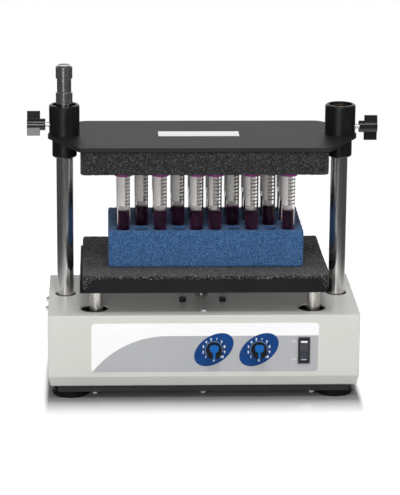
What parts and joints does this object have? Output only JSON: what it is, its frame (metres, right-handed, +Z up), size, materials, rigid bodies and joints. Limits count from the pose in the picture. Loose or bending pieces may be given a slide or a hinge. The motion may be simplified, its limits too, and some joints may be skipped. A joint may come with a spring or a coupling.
{
  "type": "vortex mixer",
  "caption": "Multi-tube vortex mixer: a motor base orbits a foam-lined tray, and a padded plate clamped on upright posts presses a rack of capped tubes onto it.",
  "frame": {"origin": "on the floor under the middle of the base, midway between the feet", "axes": "+Z up, +X to the right as seen from the front, -Y to the front with the dials and the switch"},
  "size_m": [0.4426, 0.2048, 0.4105],
  "materials": {
    "housing_paint": "satin",
    "black_paint": "satin",
    "black_rubber": "matte",
    "polished_post": "polished",
    "satin_steel": "satin",
    "bright_screw": "polished",
    "black_screw": "satin",
    "label_film": "satin",
    "black_plastic": "satin",
    "blue_inlay": "gloss",
    "pin_brass": "satin",
    "board_laminate": "satin",
    "board_parts": "satin",
    "motor_paint": "satin",
    "bare_aluminium": "satin",
    "black_aluminium": "satin",
    "bearing_bronze": "satin",
    "charcoal_foam": "matte",
    "blue_foam": "matte",
    "clear_tube": "polished",
    "purple_liquid": "gloss",
    "purple_cap": "gloss"
  },
  "bodies": {
    "base": {"housing": "housing_paint", "base_pan": "black_paint", "rubber_feet": "black_rubber", "underside_screws": "bright_screw", "isolator_rails": "satin_steel", "column_isolators": "black_rubber", "left_post": "polished_post", "right_post": "polished_post", "post_blocks": "bare_aluminium", "housing_screws": "bright_screw", "front_label": "label_film", "speed_potentiometer": "bare_aluminium", "timer_potentiometer": "bare_aluminium", "switch_frame": "black_plastic", "power_inlet": "black_plastic", "inlet_pins": "pin_brass", "inlet_screws": "bright_screw", "board_standoffs": "bare_aluminium", "control_board": "board_laminate", "board_components": "board_parts", "motor_plate": "bare_aluminium", "motor_plate_screws": "black_screw", "motor": "motor_paint", "motor_spacers": "bare_aluminium", "motor_screws": "bright_screw", "shaft_bearing": "satin_steel"},
    "crank": {"crank_shaft": "satin_steel", "counterweight": "satin_steel"},
    "mixing_tray": {"tray": "black_paint", "bearing_housing": "black_aluminium", "tray_bearing": "satin_steel", "bearing_screws": "bright_screw", "support_columns": "satin_steel", "column_screws": "bright_screw", "tray_foam": "charcoal_foam", "foam_rack": "blue_foam", "sample_tubes": "clear_tube", "tube_liquid": "purple_liquid", "tube_caps": "purple_cap"},
    "clamp": {"upper_plate": "black_paint", "upper_pad": "charcoal_foam", "plate_label": "label_film", "left_collar": "black_aluminium", "left_bushing": "bearing_bronze", "right_collar": "black_aluminium", "right_bushing": "bearing_bronze"},
    "left_tip": {"left_clamp_tip": "pin_brass"},
    "left_wing": {"left_clamp_knob": "black_plastic", "left_clamp_stud": "bright_screw"},
    "right_tip": {"right_clamp_tip": "pin_brass"},
    "right_wing": {"right_clamp_knob": "black_plastic", "right_clamp_stud": "bright_screw"},
    "speed_dial": {"speed_knob": "black_plastic", "speed_knob_pointer": "blue_inlay", "speed_shaft": "satin_steel"},
    "timer_dial": {"timer_knob": "black_plastic", "timer_knob_pointer": "blue_inlay", "timer_shaft": "satin_steel"},
    "switch_key": {"rocker": "black_plastic"}
  },
  "joints": [
    {"name": "drive_spin", "type": "hinge", "parent": "base", "child": "crank", "pos_m": [0, 0, 0.1], "axis": [0, 0, 1], "continuous": true},
    {"name": "tray_turn", "type": "hinge", "parent": "crank", "child": "mixing_tray", "pos_m": [0.0018, 0, 0.14], "axis": [0, 0, 1], "continuous": true},
    {"name": "clamp_lift", "type": "slide", "parent": "base", "child": "clamp", "axis": [0, 0, 1], "range_m": [0, 0.051]},
    {"name": "speed_turn", "type": "hinge", "parent": "base", "child": "speed_dial", "pos_m": [0.0121, -0.1, 0.0669], "axis": [0, 1, 0], "range_deg": [0, 313]},
    {"name": "timer_turn", "type": "hinge", "parent": "base", "child": "timer_dial", "pos_m": [0.0688, -0.1, 0.0669], "axis": [0, 1, 0], "range_deg": [0, 313]},
    {"name": "switch_tip", "type": "hinge", "parent": "base", "child": "switch_key", "pos_m": [0.1253, -0.0895, 0.0657], "axis": [1, 0, 0], "range_deg": [-8, 8]},
    {"name": "left_tip_slide", "type": "slide", "parent": "clamp", "child": "left_tip", "axis": [-1, 0, 0], "range_m": [0, 0.00126]},
    {"name": "left_wing_turn", "type": "hinge", "parent": "left_tip", "child": "left_wing", "pos_m": [-0.2, 0.007, 0.3342], "axis": [-1, 0, 0], "range_deg": [0, 360]},
    {"name": "right_tip_slide", "type": "slide", "parent": "clamp", "child": "right_tip", "axis": [1, 0, 0], "range_m": [0, 0.00126]},
    {"name": "right_wing_turn", "type": "hinge", "parent": "right_tip", "child": "right_wing", "pos_m": [0.2, 0.007, 0.331], "axis": [1, 0, 0], "range_deg": [0, 360]}
  ],
  "couplings": [
    {"joint": "drive_spin", "follows": "tray_turn", "ratio": -1},
    {"joint": "left_tip_slide", "follows": "left_wing_turn", "m_per_rad": 0.00019894},
    {"joint": "right_tip_slide", "follows": "right_wing_turn", "m_per_rad": 0.00019894}
  ]
}
